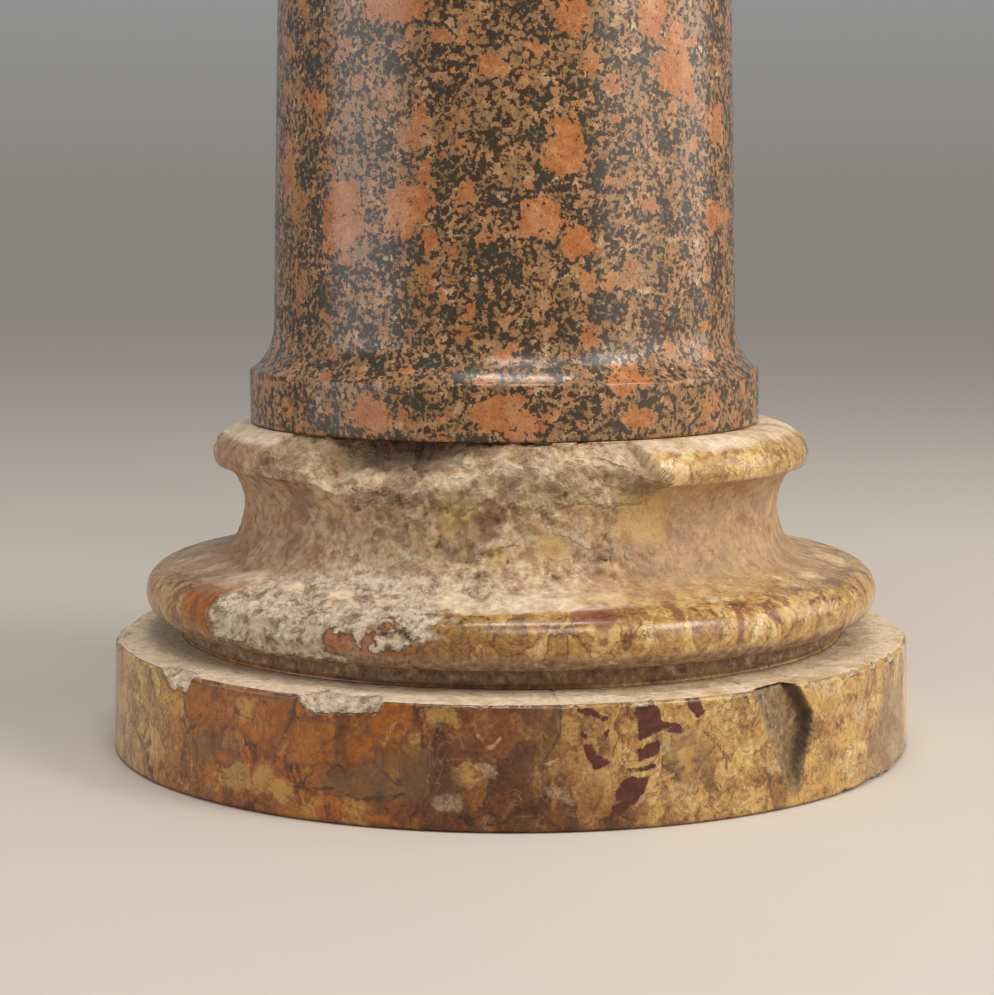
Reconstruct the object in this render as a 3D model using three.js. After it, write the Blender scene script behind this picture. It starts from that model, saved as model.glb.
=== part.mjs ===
// A weathered round column: a polished granite shaft that stands loose on a moulded base of yellow breccia marble.
// Millimetres, +Z up. The base stands on Z = 0 about the Z axis, and the broken side of the base faces -Y.
import * as THREE from "three";

// The granite shaft: cincture and apophyge at its foot, a straight taper, then apophyge, fillet and astragal.
const cinctureRadius = 139.9;
const cinctureHeight = 29.2;
const cinctureBevel = 1.6;
const footProjection = 13.3;
const footSweep = 30;
const shaftLength = 1024.2;
const shaftTaper = 21.1;
const headSweep = 22;
const headProjection = 7;
const headFilletHeight = 9;
const astragalRoll = 10;

// The shaft stands a little to the left of the base's centre, on a gap as thin as a sheet of lead.
const shaftOffset = -3.5;
const seatGap = 0.3;

// The marble base, cut from one block. Each member steps out and down from the one above it.
const bearingMargin = 0.8;
const bearingLoss = 24;
const upperTorusRoll = 23.2;
const upperTorusCrown = 16.8;
const upperTorusBelly = 4.7;
const lipSetback = 1.3;
const scotiaDepth = 15.3;
const scotiaUpperHeight = 22.5;
const scotiaLowerHeight = 27.7;
const scotiaSpread = 18.8;
const shelfWidth = 21.4;
const shelfFall = 5.1;
const torusRoll = 13.9;
const filletSetback = 19.9;
const filletHeight = 10.4;
const ledgeWidth = 36.7;
const plinthBatter = 1.8;
const plinthHeight = 60.5;
const arrisWear = 1.5;
const footRingWidth = 14;

// Radii of the base, from the shaft's bearing outwards.
const bearingRadius = cinctureRadius + bearingMargin;
const upperTorusRadius = bearingRadius + upperTorusRoll;
const lipRadius = upperTorusRadius - lipSetback;
const throatRadius = lipRadius - scotiaDepth;
const shelfInner = throatRadius + scotiaSpread;
const torusCentre = shelfInner + shelfWidth;
const filletRadius = torusCentre + torusRoll - filletSetback;
const plinthTopRadius = filletRadius + ledgeWidth;
const plinthRadius = plinthTopRadius + plinthBatter;

// Heights of the base, from the floor upwards.
const filletTop = plinthHeight + filletHeight;
const torusMiddle = filletTop + torusRoll;
const torusCrown = torusMiddle + torusRoll;
const shelfTop = torusCrown + shelfFall;
const throatHeight = shelfTop + scotiaLowerHeight;
const lipHeight = throatHeight + scotiaUpperHeight;
const upperTorusMiddle = lipHeight + upperTorusBelly;
const baseHeight = upperTorusMiddle + upperTorusCrown;

// Fineness of the solids. The base's columns of points stand closer together at the front, where the breaks are.
const baseColumns = 90;
const frontCrowding = 28;
const shaftColumns = 48;

// Points along an elliptical arc in the section (radius, height), from one angle to another in degrees.
function arc(centreR, centreZ, halfR, halfZ, fromDeg, toDeg, steps) {
  const points = [];
  for (let i = 0; i <= steps; i++) {
    const a = THREE.MathUtils.degToRad(fromDeg + ((toDeg - fromDeg) * i) / steps);
    points.push(new THREE.Vector2(centreR + halfR * Math.cos(a), centreZ + halfZ * Math.sin(a)));
  }
  return points;
}

// Points on a straight stretch of the section, its two ends left out.
function between(from, to, count) {
  return Array.from({ length: count }, (_, i) => from.clone().lerp(to, (i + 1) / (count + 1)));
}

function baseOutline() {
  const footArris = new THREE.Vector2(plinthRadius, arrisWear);
  const topArris = new THREE.Vector2(plinthTopRadius, plinthHeight - arrisWear);
  const topEdge = new THREE.Vector2(plinthTopRadius - arrisWear, plinthHeight);
  const filletFoot = new THREE.Vector2(filletRadius, plinthHeight);
  const crown = new THREE.Vector2(torusCentre, torusCrown);
  const shelfEnd = new THREE.Vector2(shelfInner, shelfTop);
  return [
    new THREE.Vector2(0, 0),
    new THREE.Vector2(plinthRadius - footRingWidth, 0),
    new THREE.Vector2(plinthRadius - arrisWear, 0),
    footArris,
    ...between(footArris, topArris, 4),
    topArris,
    topEdge,
    ...between(topEdge, filletFoot, 2),
    filletFoot,
    new THREE.Vector2(filletRadius, filletTop),
    ...arc(torusCentre, torusMiddle, torusRoll, torusRoll, -80, 90, 8),
    ...between(crown, shelfEnd, 1),
    ...arc(shelfInner, throatHeight, -scotiaSpread, scotiaLowerHeight, -90, 0, 5),
    ...arc(lipRadius, throatHeight, -scotiaDepth, scotiaUpperHeight, 15, 90, 5),
    ...arc(bearingRadius, upperTorusMiddle, upperTorusRoll, upperTorusCrown, 0, 90, 6),
    new THREE.Vector2(bearingRadius - bearingLoss, baseHeight),
    new THREE.Vector2(0, baseHeight),
  ];
}

// 1 between b and c, 0 before a and after d, with soft ends.
function span(x, a, b, c, d) {
  return THREE.MathUtils.smoothstep(x, a, b) * (1 - THREE.MathUtils.smoothstep(x, c, d));
}

// The uneven surface of broken stone, from -1 to 1: waves round the column that climb at their own pace.
const stoneWaves = [
  { size: 0.5, perDegree: 0.31, perMillimetre: 0.17, start: 0 },
  { size: 0.3, perDegree: 0.83, perMillimetre: -0.29, start: 1.7 },
  { size: 0.2, perDegree: 1.57, perMillimetre: 0.43, start: 0.6 },
];

function rough(azimuth, height) {
  return stoneWaves.reduce(
    (sum, wave) => sum + wave.size * Math.sin(wave.perDegree * azimuth + wave.perMillimetre * height + wave.start),
    0,
  );
}

// How far out a section point lies along a normal that leans up from level by a lean in degrees.
function reachOf(radius, height, leanDeg) {
  const lean = THREE.MathUtils.degToRad(leanDeg);
  return radius * Math.cos(lean) + height * Math.sin(lean);
}

// Breaks a section point back to the line that lies at a reach out along a leaning normal.
function breakBack(point, leanDeg, reach) {
  const lean = THREE.MathUtils.degToRad(leanDeg);
  const excess = reachOf(point.x, point.y, leanDeg) - reach;
  if (excess > 0) point.sub(new THREE.Vector2(excess * Math.cos(lean), excess * Math.sin(lean)));
}

// The upper torus is knocked off across the front. Left of the front the break runs on under the shaft.
const lipLoss = { leftEnd: -52, leftFull: -39, rightFull: 15, rightEnd: 25, slant: 0.25, depth: 14.5, bumps: 1.6 };
const undercut = { leftEnd: -44, leftFull: -36, rightFull: -22, rightEnd: 8, lean: 48, least: 2, most: 10 };

function breakUpperTorus(point, azimuth) {
  if (point.y < throatHeight - scotiaLowerHeight / 2) return;
  const slanted = azimuth - lipLoss.slant * (baseHeight - point.y);
  const right = 1 - THREE.MathUtils.smoothstep(slanted, lipLoss.rightFull, lipLoss.rightEnd);
  const loss = right * THREE.MathUtils.smoothstep(azimuth, lipLoss.leftEnd, lipLoss.leftFull);
  if (loss === 0) return;
  const bumps = lipLoss.bumps * rough(azimuth, point.y) * loss;
  breakBack(point, 0, upperTorusRadius - lipLoss.depth * loss + bumps);
  const cut = span(azimuth, undercut.leftEnd, undercut.leftFull, undercut.rightFull, undercut.rightEnd);
  const depth = loss * THREE.MathUtils.lerp(undercut.least, undercut.most, cut);
  breakBack(point, undercut.lean, reachOf(bearingRadius, baseHeight, undercut.lean) - depth + bumps);
}

// The torus is spalled along its outer shoulder, left of the front. The break has two faces of their own lean.
const torusSpall = { leftEnd: -50, leftFull: -47, rightFull: -24, rightEnd: -4, depth: 5.5, bumps: 1.2, leans: [18, 62] };

function spallTorus(point, azimuth) {
  if (point.y < filletTop || point.y > shelfTop) return;
  const loss = span(azimuth, torusSpall.leftEnd, torusSpall.leftFull, torusSpall.rightFull, torusSpall.rightEnd);
  if (loss === 0) return;
  const bumps = torusSpall.bumps * rough(azimuth, 2 * point.y) * loss;
  for (const lean of torusSpall.leans) {
    const intact = reachOf(torusCentre, torusMiddle, lean) + torusRoll;
    breakBack(point, lean, intact - torusSpall.depth * loss + bumps);
  }
}

// Chips along the plinth's upper and lower arris. Depth is measured square to the chip's face, whose normal leans.
const upperArris = new THREE.Vector2(plinthTopRadius, plinthHeight);
const lowerArris = new THREE.Vector2(plinthRadius, 0);
const plinthChips = [
  { arris: upperArris, leftEnd: -57, leftFull: -50, rightFull: -47.5, rightEnd: -46, depth: 7, lean: 52 },
  { arris: upperArris, leftEnd: -29, leftFull: -26, rightFull: -18, rightEnd: -15, depth: 7, lean: 64 },
  { arris: upperArris, leftEnd: 30, leftFull: 34, rightFull: 39, rightEnd: 43, depth: 2.5, lean: 45 },
  { arris: upperArris, leftEnd: 82, leftFull: 88, rightFull: 112, rightEnd: 118, depth: 3.5, lean: 50 },
  { arris: upperArris, leftEnd: -112, leftFull: -104, rightFull: -84, rightEnd: -70, depth: 3.5, lean: 55 },
  { arris: lowerArris, leftEnd: 46, leftFull: 54, rightFull: 84, rightEnd: 98, depth: 2.6, lean: -52 },
];

function chipPlinth(point, azimuth) {
  if (point.y > plinthHeight || point.x < plinthTopRadius - ledgeWidth / 2) return;
  for (const chip of plinthChips) {
    const loss = span(azimuth, chip.leftEnd, chip.leftFull, chip.rightFull, chip.rightEnd);
    if (loss === 0 || Math.abs(point.y - chip.arris.y) > plinthHeight / 2) continue;
    const intact = reachOf(chip.arris.x, chip.arris.y, chip.lean);
    breakBack(point, chip.lean, intact - (chip.depth + rough(azimuth, point.y)) * loss);
  }
}

// A flake is gone from the plinth's face on the right. It is deepest at its right edge, where it ends in a step.
const faceFlake = { leftEnd: 31, deepest: 40.8, rightEnd: 41.6, depth: 8, foot: 10 };

function flakePlinthFace(point, azimuth) {
  if (point.y > plinthHeight || point.x < plinthTopRadius - 2 * arrisWear || azimuth > faceFlake.rightEnd) return;
  const face = THREE.MathUtils.lerp(plinthRadius, plinthTopRadius, point.y / plinthHeight);
  const slope = THREE.MathUtils.smoothstep(azimuth, faceFlake.leftEnd, faceFlake.deepest);
  const rise = THREE.MathUtils.smoothstep(point.y, faceFlake.foot, 2 * faceFlake.foot);
  breakBack(point, 0, face - faceFlake.depth * slope * rise);
}

// A turned solid about +Z from its section, which starts and ends on the axis.
function turned(outline, columns) {
  return new THREE.LatheGeometry(outline, columns).rotateX(Math.PI / 2);
}

// Turns the base, crowds its columns of points towards the front, and breaks its surface back.
function brokenBase() {
  const geometry = turned(baseOutline(), baseColumns);
  const position = geometry.getAttribute("position");
  for (let i = 0; i < position.count; i++) {
    const radius = Math.hypot(position.getX(i), position.getY(i));
    const even = Math.atan2(position.getX(i), -position.getY(i));
    const azimuth = THREE.MathUtils.radToDeg(even) - frontCrowding * Math.sin(even);
    const point = new THREE.Vector2(radius, position.getZ(i));
    flakePlinthFace(point, azimuth);
    chipPlinth(point, azimuth);
    spallTorus(point, azimuth);
    breakUpperTorus(point, azimuth);
    const a = THREE.MathUtils.degToRad(azimuth);
    position.setXYZ(i, point.x * Math.sin(a), -point.x * Math.cos(a), point.y);
  }
  geometry.computeVertexNormals();
  return geometry;
}

// The angle that an arc of the shaft's apophyge turns through to step out by a projection.
function sweepAngle(projection, sweep) {
  return Math.acos(1 - projection / sweep);
}

function shaftOutline() {
  const footRadius = cinctureRadius - footProjection;
  const footEdge = cinctureRadius - cinctureBevel;
  const footTurn = sweepAngle(footEdge - footRadius, footSweep);
  const footCentre = cinctureHeight + footSweep * Math.sin(footTurn);
  const headRadius = footRadius - shaftTaper;
  const headFilletRadius = headRadius + headProjection;
  const astragalMiddle = shaftLength - astragalRoll;
  const headFilletTop = astragalMiddle - astragalRoll;
  const headTurn = sweepAngle(headProjection, headSweep);
  const headCentre = headFilletTop - headFilletHeight - headSweep * Math.sin(headTurn);
  const footTurnDeg = THREE.MathUtils.radToDeg(footTurn);
  const headTurnDeg = THREE.MathUtils.radToDeg(headTurn);
  return [
    new THREE.Vector2(0, 0),
    new THREE.Vector2(footEdge, 0),
    new THREE.Vector2(cinctureRadius, cinctureBevel),
    new THREE.Vector2(cinctureRadius, cinctureHeight - cinctureBevel),
    ...arc(footRadius + footSweep, footCentre, -footSweep, footSweep, -footTurnDeg, 0, 5),
    ...arc(headRadius + headSweep, headCentre, -headSweep, headSweep, 0, headTurnDeg, 3),
    new THREE.Vector2(headFilletRadius, headFilletTop),
    ...arc(headFilletRadius, astragalMiddle, astragalRoll, astragalRoll, -70, 90, 6),
    new THREE.Vector2(0, shaftLength),
  ];
}

const breccia = new THREE.MeshStandardMaterial({ color: 0xb98a4a, roughness: 0.45, metalness: 0 });
const granite = new THREE.MeshStandardMaterial({ color: 0xa98a6c, roughness: 0.2, metalness: 0 });

const base = new THREE.Mesh(brokenBase(), breccia);
base.name = "marble_base";

const shaft = new THREE.Mesh(turned(shaftOutline(), shaftColumns), granite);
shaft.name = "granite_shaft";
shaft.position.set(shaftOffset, 0, baseHeight + seatGap);

const column = new THREE.Group();
column.add(base, shaft);

export default column;
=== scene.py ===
import math
from collections import namedtuple

import bpy
import numpy as np
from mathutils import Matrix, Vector, noise


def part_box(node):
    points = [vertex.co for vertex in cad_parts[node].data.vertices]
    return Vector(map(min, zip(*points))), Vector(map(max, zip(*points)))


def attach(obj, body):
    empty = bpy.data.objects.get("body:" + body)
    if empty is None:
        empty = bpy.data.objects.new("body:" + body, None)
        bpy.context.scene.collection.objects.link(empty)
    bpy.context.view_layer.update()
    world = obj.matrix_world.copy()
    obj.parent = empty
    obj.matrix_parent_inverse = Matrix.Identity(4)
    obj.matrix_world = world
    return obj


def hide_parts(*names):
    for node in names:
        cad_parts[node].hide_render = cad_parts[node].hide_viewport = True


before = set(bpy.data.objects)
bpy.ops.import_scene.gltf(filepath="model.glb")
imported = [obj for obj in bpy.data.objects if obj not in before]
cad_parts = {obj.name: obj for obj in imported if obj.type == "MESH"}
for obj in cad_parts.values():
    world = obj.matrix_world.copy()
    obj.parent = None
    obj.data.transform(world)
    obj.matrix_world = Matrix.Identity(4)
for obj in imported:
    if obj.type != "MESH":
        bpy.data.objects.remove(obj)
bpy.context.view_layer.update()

# The base is one block of yellow and brown breccia marble, turned to plinth, fillet, torus, scotia and upper
# torus, and polished. Since then the upper torus has been knocked off across the front, the torus has
# spalled, the arrises have chipped, and dust has settled on every ledge.
base_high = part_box("marble_base")[1]
plinth_radius = base_high.x
base_height = base_high.z
arris_wear = 0.0015
plinth_batter = 0.0018
plinth_height = 0.0605
ledge_width = 0.0367
fillet_height = 0.0104
fillet_setback = 0.0199
torus_roll = 0.0139
shelf_width = 0.0214
shelf_fall = 0.0051
scotia_spread = 0.0188
scotia_lower_height = 0.0277
scotia_upper_height = 0.0225
scotia_depth = 0.0153
lip_setback = 0.0013
upper_torus_belly = 0.0047
upper_torus_roll = 0.0232

plinth_top_radius = plinth_radius - plinth_batter
fillet_radius = plinth_top_radius - ledge_width
torus_radius = fillet_radius + fillet_setback
torus_centre = torus_radius - torus_roll
shelf_inner = torus_centre - shelf_width
throat_radius = shelf_inner - scotia_spread
lip_radius = throat_radius + scotia_depth
upper_torus_radius = lip_radius + lip_setback
bearing_radius = upper_torus_radius - upper_torus_roll

fillet_top = plinth_height + fillet_height
torus_middle = fillet_top + torus_roll
torus_crown = torus_middle + torus_roll
shelf_top = torus_crown + shelf_fall
throat_height = shelf_top + scotia_lower_height
lip_height = throat_height + scotia_upper_height
upper_torus_middle = lip_height + upper_torus_belly
upper_torus_crown = base_height - upper_torus_middle

# Azimuths between which the columns of points stand so many degrees apart. They crowd on the broken front.
column_bands = (
    (-180, -90, 2.2),
    (-90, -62, 1.0),
    (-62, 36, 0.44),
    (36, 44, 0.22),
    (44, 62, 0.5),
    (62, 90, 1.0),
    (90, 180, 2.2),
)


def line(start, end, count):
    """Points from start to end of a straight stretch of a section, the start left out."""
    return [
        (start[0] + (end[0] - start[0]) * i / count, start[1] + (end[1] - start[1]) * i / count)
        for i in range(1, count + 1)
    ]


def arc(centre, half_width, half_height, start, end, count):
    """Points along an elliptical arc of a section, its angles in degrees."""
    points = []
    for i in range(count + 1):
        angle = math.radians(start + (end - start) * i / count)
        points.append((centre[0] + half_width * math.cos(angle), centre[1] + half_height * math.sin(angle)))
    return points


def base_section():
    """The sound outline of the base as (radius, height), from the underside's rim up to the bearing."""
    foot = (plinth_radius - arris_wear, 0.0)
    wall_foot = (plinth_radius, arris_wear)
    wall_top = (plinth_top_radius, plinth_height - arris_wear)
    ledge_edge = (plinth_top_radius - arris_wear, plinth_height)
    ledge_end = (fillet_radius, plinth_height)
    points = [(plinth_radius - 0.05, 0.0), (plinth_radius - 0.02, 0.0), (plinth_radius - 0.008, 0.0), foot]
    points += line(foot, wall_foot, 3)
    points += line(wall_foot, wall_top, 44)
    points += line(wall_top, ledge_edge, 3)
    points += line(ledge_edge, ledge_end, 22)
    points += line(ledge_end, (fillet_radius, fillet_top), 7)
    points += line((fillet_radius, fillet_top), (torus_centre, fillet_top), 3)
    points += arc((torus_centre, torus_middle), torus_roll, torus_roll, -86, 90, 34)
    points += line((torus_centre, torus_crown), (shelf_inner, shelf_top), 14)
    points += arc((shelf_inner, throat_height), -scotia_spread, scotia_lower_height, -88, 0, 24)
    points += arc((lip_radius, throat_height), -scotia_depth, scotia_upper_height, 4, 88, 19)
    points += line((lip_radius, lip_height), (upper_torus_radius, upper_torus_middle), 4)
    points += arc((bearing_radius, upper_torus_middle), upper_torus_roll, upper_torus_crown, 4, 90, 24)
    points += line((bearing_radius, base_height), (bearing_radius - 0.03, base_height), 14)
    return points


def smooth(value, low, high):
    """0 below low, 1 above high, and a soft step between them."""
    t = min(max((value - low) / (high - low), 0.0), 1.0)
    return t * t * (3 - 2 * t)


# Without a fixed seed the noise is shifted by the clock, and each run would break the stone another way.
break_seed = 1795817256
noise.seed_set(break_seed)


def facets(place, size, height):
    """Tilted facets with steps between them, about size across and height high."""
    cell_place = place / size
    centre = noise.voronoi(cell_place)[1][0]
    tilt = noise.noise_vector(centre * 3.7)
    return height * (noise.noise(centre * 5.1) + 1.4 * tilt.dot(cell_place - centre))


def fracture(place):
    """Relief of broken marble at a place: large and small facets, crumbs and lumps."""
    pushed = place + 0.003 * noise.noise_vector(place * 90)
    crumbs = noise.fractal(place * 210, 0.8, 2.1, 4)
    lumps = noise.noise(place * 48)
    return facets(pushed, 0.013, 0.0018) + facets(pushed, 0.0052, 0.0011) + 0.0009 * crumbs + 0.0016 * lumps


# A break takes off what lies beyond a plane, between the heights low and high. Its face leans back from
# upright by lean degrees and lies depth below the sound point at edge. It fades in and out between its left
# and right azimuths, 0 being the front, and moves slant degrees to the right for each metre down.
Break = namedtuple("Break", "left right low high lean edge depth wander slant")


def reach(point, lean):
    angle = math.radians(lean)
    return point[0] * math.cos(angle) + point[1] * math.sin(angle)


lip_edge = (upper_torus_radius, upper_torus_middle)
bearing_edge = (bearing_radius, base_height)
ledge_edge = (plinth_top_radius, plinth_height)
foot_edge = (plinth_radius, 0.0)


def torus_point(lean):
    angle = math.radians(lean)
    return (torus_centre + torus_roll * math.cos(angle), torus_middle + torus_roll * math.sin(angle))


waist = throat_height - scotia_lower_height / 2
half_plinth = plinth_height / 2
no_limit = 1.0
breaks = [
    Break((-52, -39), (15, 25), waist, no_limit, 0, lip_edge, 0.0145, 2.5, 250),
    Break((-52, -39), (14, 24), waist, no_limit, 48, bearing_edge, 0.002, 2.5, 250),
    Break((-42, -37), (-20, 6), waist, no_limit, 48, bearing_edge, 0.0125, 2.0, 0),
    Break((-54, -51), (-40, -36), lip_height - 0.004, no_limit, -12, lip_edge, 0.0055, 1.5, 0),
    Break((-50, -48), (-45, -42), lip_height, no_limit, 40, lip_edge, 0.0015, 1.0, 0),
    Break((-50, -47.5), (-26, -5), fillet_top, shelf_top, 18, torus_point(18), 0.0055, 1.2, 0),
    Break((-50, -47.5), (-24, -4), fillet_top, shelf_top, 62, torus_point(62), 0.0050, 1.2, 0),
    Break((-45, -40), (-28, -20), fillet_top, shelf_top, -20, torus_point(-20), 0.0040, 1.5, 0),
    Break((-58, -51), (-48.0, -46.2), half_plinth, plinth_height, 52, ledge_edge, 0.0070, 0.8, 0),
    Break((-28.5, -26), (-18, -15), half_plinth, plinth_height, 64, ledge_edge, 0.0070, 1.0, 0),
    Break((-60, -56), (60, 70), half_plinth, plinth_height, 45, ledge_edge, 0.0007, 0.0, 0),
    Break((82, 88), (112, 118), half_plinth, plinth_height, 50, ledge_edge, 0.0035, 2.0, 0),
    Break((-112, -104), (-84, -70), half_plinth, plinth_height, 55, ledge_edge, 0.0035, 2.0, 0),
    Break((46, 54), (84, 98), 0, half_plinth, -52, foot_edge, 0.0026, 2.0, 0),
]

# How many degrees further right than its right azimuths the most slanting break reaches at its lowest.
slant_reach = 14


def broken_back(point, azimuth, place):
    """Where a section's point ends up once every break has been through it."""
    radius, height = point
    turned = math.radians(azimuth)
    for part in breaks:
        if not part.low <= point[1] <= part.high:
            continue
        if not part.left[0] - part.wander <= azimuth <= part.right[1] + slant_reach + part.wander:
            continue
        turn = azimuth + part.wander * noise.noise(place * 70) - part.slant * (base_height - height)
        loss = smooth(turn, *part.left) * (1 - smooth(turn, *part.right))
        if loss <= 0:
            continue
        angle = math.radians(part.lean)
        limit = reach(part.edge, part.lean) - part.depth * loss
        excess = reach((radius, height), part.lean) - limit
        if excess <= -0.002:
            continue
        flat = (radius - excess * math.cos(angle), height - excess * math.sin(angle))
        rough = fracture(Vector((flat[0] * math.sin(turned), -flat[0] * math.cos(turned), flat[1])))
        excess -= rough * min(1.0, 3 * loss)
        if excess > 0:
            radius -= excess * math.cos(angle)
            height -= excess * math.sin(angle)
    return radius, height


flake_depth = 0.0080
flake_step = 0.9
flake_heights = (0.002, 0.012, 0.022, 0.034, 0.044, 0.052, 0.0605)
flake_lefts = (38.4, 37.2, 36.2, 34.6, 33.6, 32.6, 31.6)
flake_rights = (40.6, 41.0, 41.6, 42.5, 42.8, 41.4, 40.2)


def flake_loss(azimuth, height, place):
    """What the flake lost from the plinth's right face takes off, and how far a point is into its step, which
    gets painted shade.
    """
    edge = np.interp(height, flake_heights, flake_rights) + 0.7 * noise.noise(place * 40)
    start = np.interp(height, flake_heights, flake_lefts) + 0.9 * noise.noise(place * 70)
    if not start < azimuth < edge:
        return 0.0, 0.0
    slope = min(1.0, (azimuth - start) / (edge - flake_step - start))
    foot = smooth(height, 0.002, 0.024)
    riser = smooth(azimuth, edge - flake_step, edge)
    loss = foot * (flake_depth * slope + 0.5 * fracture(place) * min(1.0, 4 * slope)) * (1 - riser)
    step_left = edge - flake_step
    return loss, smooth(azimuth, step_left - 0.4, step_left + 0.2) * smooth(height, 0.008, 0.030)


def turned_mesh(name, section, azimuths, shape):
    """A turned body as a mesh. shape(point, azimuth, place, upward) gives its radius, height and masks."""
    rows, columns = len(section), len(azimuths)
    vertices = []
    masks = {}
    for row, point in enumerate(section):
        before = section[max(row - 1, 0)]
        after = section[min(row + 1, rows - 1)]
        upward = -(after[0] - before[0]) / max(math.dist(before, after), 1e-9)
        for azimuth in azimuths:
            angle = math.radians(azimuth)
            place = Vector((point[0] * math.sin(angle), -point[0] * math.cos(angle), point[1]))
            radius, height, marks = shape(point, azimuth, place, upward)
            vertices.append((radius * math.sin(angle), -radius * math.cos(angle), height))
            for mask, value in marks.items():
                masks.setdefault(mask, []).append(value)
    faces = []
    for row in range(rows - 1):
        for column in range(columns):
            right = (column + 1) % columns
            faces.append(
                (
                    row * columns + column,
                    row * columns + right,
                    (row + 1) * columns + right,
                    (row + 1) * columns + column,
                )
            )
    for row, order in ((0, -1), (rows - 1, 1)):
        vertices.append((0.0, 0.0, section[row][1]))
        middle = len(vertices) - 1
        for mask in masks.values():
            mask.append(0.0)
        for column in range(columns):
            pair = (row * columns + column, row * columns + (column + 1) % columns)
            faces.append((middle,) + pair[::order])
    mesh = bpy.data.meshes.new(name)
    mesh.from_pydata(vertices, [], faces)
    for mask, values in masks.items():
        mesh.attributes.new(mask, "FLOAT", "POINT").data.foreach_set("value", values)
    mesh.shade_smooth()
    body = bpy.data.objects.new(name, mesh)
    bpy.context.collection.objects.link(body)
    return body


def base_shape(point, azimuth, place, upward):
    """Breaks, weathers and dusts one point of the base, and marks where painted shade goes."""
    radius, height = broken_back(point, azimuth, place)
    moved = math.hypot(point[0] - radius, point[1] - height)
    broken = smooth(moved, 0.0003, 0.0011)
    lost, riser = flake_loss(azimuth, height, place) if 0 < point[1] <= plinth_height else (0.0, 0.0)
    if point[0] < plinth_top_radius - 2 * arris_wear:
        lost = max(0.0, point[0] - plinth_top_radius + lost)
    radius -= lost
    flaked = smooth(lost, 0.0002, 0.0010)
    riser *= flaked
    front = smooth(azimuth, -40, -24) * (1 - smooth(azimuth, 18, 34))
    above = smooth(point[1], shelf_top - 0.006, shelf_top + 0.006)
    crust = above * (1 - smooth(point[1], lip_height - 0.001, lip_height + 0.003))
    eroded = (point[1] > lip_height) * smooth(azimuth, -125, -100) * (1 - smooth(azimuth, -52, -44))
    eroded *= 1 - broken
    coarse = crust * (0.15 + 0.85 * front) * (1 - broken) + 0.5 * eroded
    crust = max(crust, 0.95 * eroded)
    pitted = smooth(noise.noise(place * 38), -0.15, 0.25)
    lumps = 0.0022 * noise.noise(place * 42)
    radius += coarse * (lumps + (0.0008 + 0.0032 * pitted) * noise.fractal(place * 170, 0.8, 2.1, 4))
    on_shelf = (point[1] > torus_middle) * (1 - smooth(point[1], shelf_top, shelf_top + 0.006))
    shelf = on_shelf * (1 - smooth(point[0], torus_centre - 0.005, torus_centre + 0.006))
    rough_shelf = shelf * smooth(azimuth, -54, -46) * (1 - smooth(azimuth, -6, 12))
    height += rough_shelf * (0.0028 * noise.fractal(place * 120, 0.8, 2.1, 4) - 0.0012)
    polished_shelf = smooth(azimuth, -4, 22) * (1 - smooth(azimuth, 100, 130))
    in_scotia = shelf_top < point[1] < throat_height
    dust = smooth(upward, 0.55, 0.93) * (1 - on_shelf) * (0.45 if in_scotia else 1 - 0.30 * polished_shelf)
    worn_left = 1 - smooth(azimuth, -62, -42)
    dust = max(dust, shelf * (1 - 0.56 * polished_shelf - 0.50 * worn_left))
    drifted = smooth(azimuth, -46, -34) * (1 - smooth(azimuth, 4, 20)) * (point[1] > shelf_top - 0.001)
    drifted *= 1 - broken
    dust = max(dust, 0.72 * drifted * (1 - smooth(point[1], shelf_top - 0.001, shelf_top + 0.024)))
    dust *= 1 - 0.7 * broken
    # The groove under the torus is marked for grey-brown grime together with painted shade under the torus.
    under_torus = 1 - smooth(point[1], torus_middle - 0.009, torus_middle - 0.004)
    groove = smooth(point[1], plinth_height + 0.0005, plinth_height + 0.004) * under_torus
    # Painted shade in the pocket under the shaft's overhang, where the bearing has broken away.
    painted_pocket_shade = broken * smooth(azimuth, -38, -31) * (1 - smooth(azimuth, -19, -10))
    painted_pocket_shade *= smooth(point[1], lip_height + 0.009, base_height)
    spalled = rough_shelf + drifted * 0.8 * (1 - smooth(point[1], shelf_top, shelf_top + 0.020))
    spalled *= smooth(noise.noise(place * 55), -0.55, 0.05)
    spalled *= 1 - 0.75 * smooth(azimuth, -16, 2)
    broken = max(broken, min(1.0, 0.95 * spalled))
    dust *= 1 - 0.85 * min(1.0, spalled)
    marks = {
        "broken": broken,
        "dust": dust,
        "groove_grime_and_shade": groove,
        "crust": crust,
        "flaked": flaked,
        "riser": riser,
        "painted_pocket_shade": painted_pocket_shade,
    }
    return radius, max(height, 0.0), marks


def banded_azimuths(bands):
    """Azimuths all round in even steps within each band of (start, end, step)."""
    azimuths = []
    for start, end, spacing in bands:
        count = round((end - start) / spacing)
        azimuths += [start + (end - start) * i / count for i in range(count)]
    return azimuths


base = turned_mesh("breccia_base", base_section(), banded_azimuths(column_bands), base_shape)

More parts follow.
